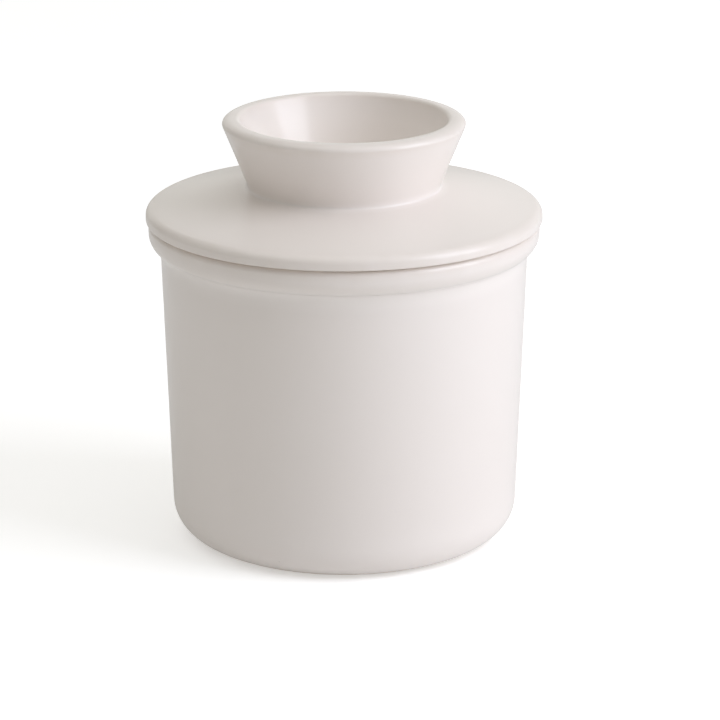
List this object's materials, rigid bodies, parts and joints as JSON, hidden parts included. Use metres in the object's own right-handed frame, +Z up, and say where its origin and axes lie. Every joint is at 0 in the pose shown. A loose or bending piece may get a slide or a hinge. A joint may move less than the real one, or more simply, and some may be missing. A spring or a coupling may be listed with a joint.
{
  "type": "butter keeper",
  "caption": "Round white glazed stoneware butter keeper: a tapered crock with a rolled rim, and a lift-off lid with a hollow flared collar on top and a bell for butter hanging below.",
  "frame": {"origin": "centre of the crock's foot ring, on the table", "axes": "+Z up along the axis of the pot; X and Y are free, because every piece is turned about +Z"},
  "size_m": [0.097, 0.097, 0.105],
  "materials": {
    "white_glaze": "warm white satin glaze over pale stoneware"
  },
  "bodies": {
    "crock": {"crock": "white_glaze"},
    "lid": {"lid_plate": "white_glaze", "collar": "white_glaze", "butter_bell": "white_glaze"}
  },
  "joints": [
    {"name": "lid_lift", "type": "slide", "parent": "crock", "child": "lid", "axis": [0, 0, 1], "range_m": [0, 0.08]}
  ]
}
